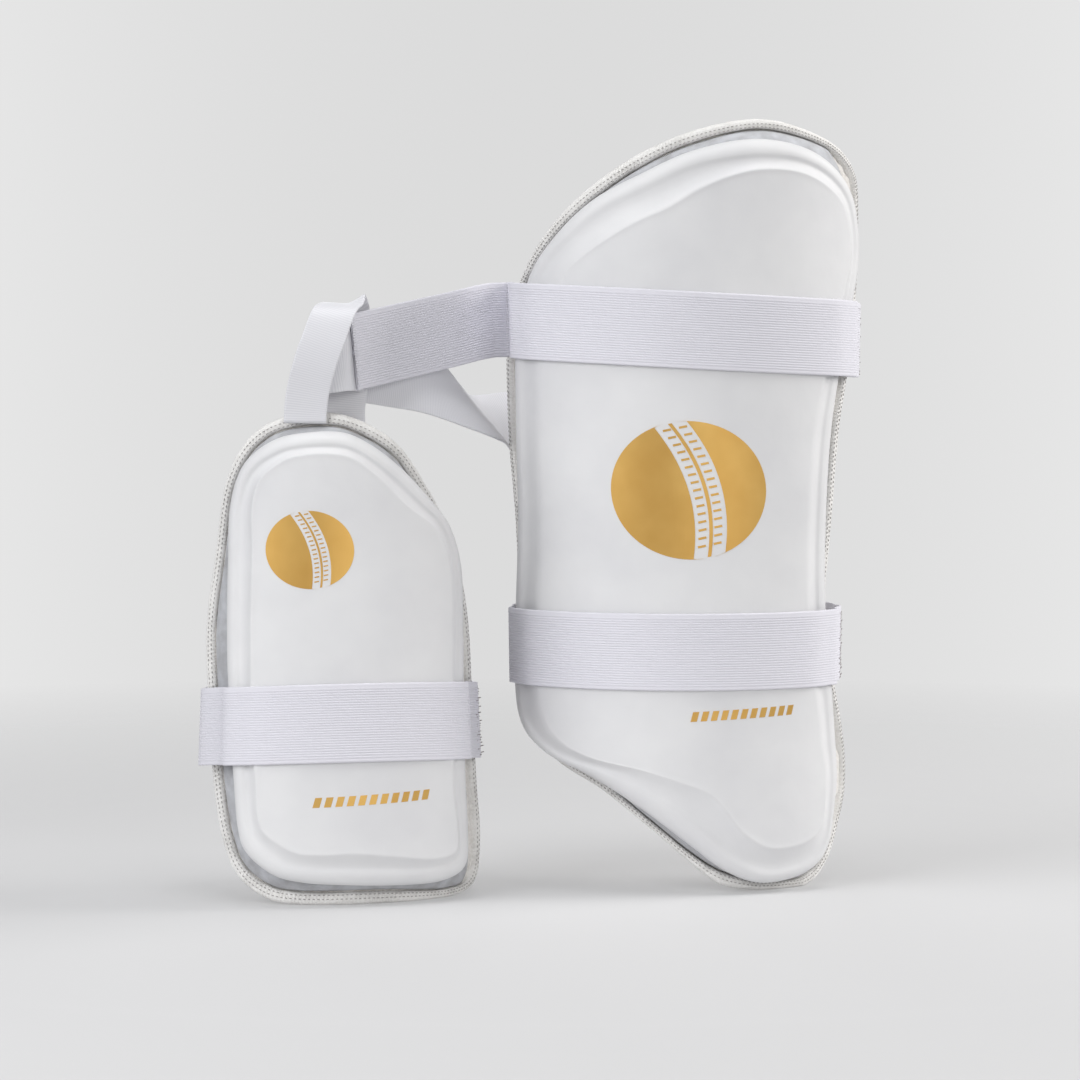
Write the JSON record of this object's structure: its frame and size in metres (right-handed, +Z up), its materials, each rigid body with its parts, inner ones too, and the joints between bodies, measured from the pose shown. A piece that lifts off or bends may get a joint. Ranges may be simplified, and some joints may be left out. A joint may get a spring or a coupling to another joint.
{
  "type": "cricket thigh guard set",
  "caption": "Outer and inner moulded foam thigh guards with towelling backs and ribbed elastic leg straps, joined by a waist belt that turns back in a hanging loop.",
  "frame": {"origin": "on the floor under the middle of the whole set's box", "axes": "+Z up along both guards, -Y the way the guards' faces look, +X from the small inner guard to the large outer guard"},
  "size_m": [0.3484, 0.1926, 0.405],
  "materials": {
    "coated_foam": "moulded foam under a soft white polyurethane skin, satin",
    "lining_cloth": "pale grey knitted lining, softly wrinkled",
    "towelling": "white looped towelling",
    "overlock": "white overlocked thread edge",
    "ribbed_elastic": "white ribbed woven elastic",
    "smooth_tape": "white smooth woven tape",
    "hook_tape": "off-white hook tape"
  },
  "bodies": {
    "root": {"outer_shell": "coated_foam", "outer_gusset": "lining_cloth", "outer_back_pad": "towelling", "outer_hem": "overlock", "outer_lower_strap": "ribbed_elastic", "outer_tab": "hook_tape", "inner_shell": "coated_foam", "inner_gusset": "lining_cloth", "inner_back_pad": "towelling", "inner_hem": "overlock", "inner_strap": "ribbed_elastic", "inner_tab": "hook_tape", "belt_elastic": "ribbed_elastic", "belt_tape": "smooth_tape", "hanging_loop": "smooth_tape"}
  },
  "joints": []
}
